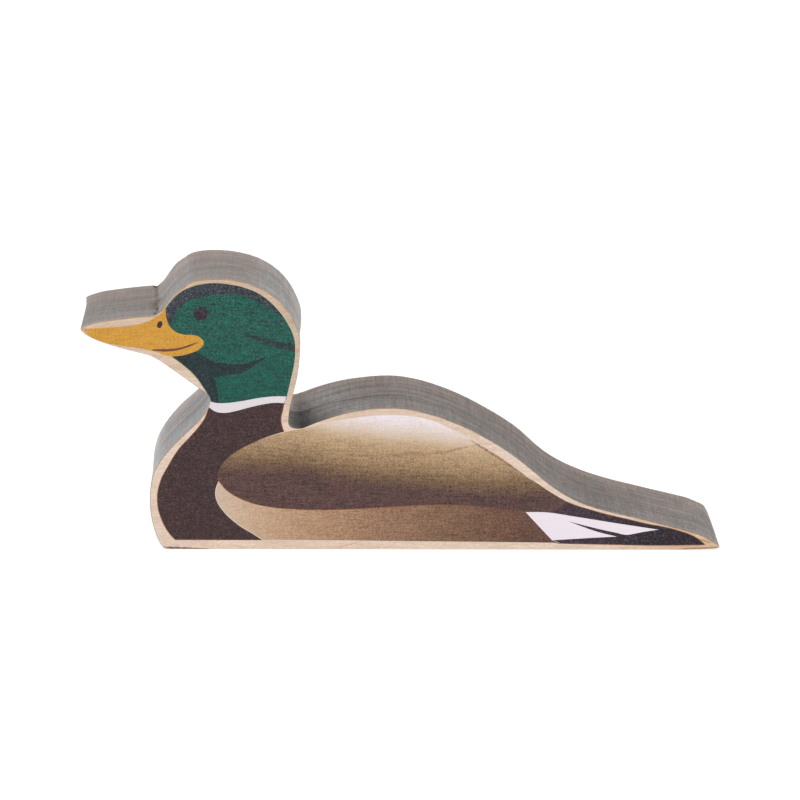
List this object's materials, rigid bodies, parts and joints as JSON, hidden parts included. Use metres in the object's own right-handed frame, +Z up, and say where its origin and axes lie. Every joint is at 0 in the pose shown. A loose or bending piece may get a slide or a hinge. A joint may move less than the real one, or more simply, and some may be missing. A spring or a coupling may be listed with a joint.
{
  "type": "wooden duck cut-out figure",
  "caption": "Flat wooden cut-out of a swimming mallard, printed on its faces, built from boards glued back to back, standing on its straight base edge.",
  "frame": {"origin": "middle of the base, on the surface that the figure stands on, midway between the outer faces of the boards", "axes": "+X from the bill towards the tail, +Y from the front board towards the back board, +Z up"},
  "size_m": [0.152, 0.0194, 0.0695],
  "materials": {
    "maple": "Pale fine-grained maple, bare on a narrow rim, with smoke-grey cut edges and satin printed faces",
    "ink_bill": "Yellow-orange printed ink, satin, with the wood grain showing through",
    "ink_head": "Dark green printed ink, satin",
    "ink_crown": "Slate printed ink, satin",
    "ink_collar": "Cool white printed ink, satin, on the collar and the tail feathers",
    "ink_breast": "Maroon-brown printed ink, satin",
    "ink_wing": "Printed blend from a pale highlight through tan to dark brown, satin",
    "ink_flank": "Printed blend from light tan to brown, satin",
    "ink_tail": "Near-black printed ink, satin",
    "ink_eye": "Dark purple-brown printed ink, satin, on the eye, nostril and bill line"
  },
  "bodies": {
    "root": {"board_front": "maple", "board_back": "maple"}
  },
  "joints": []
}
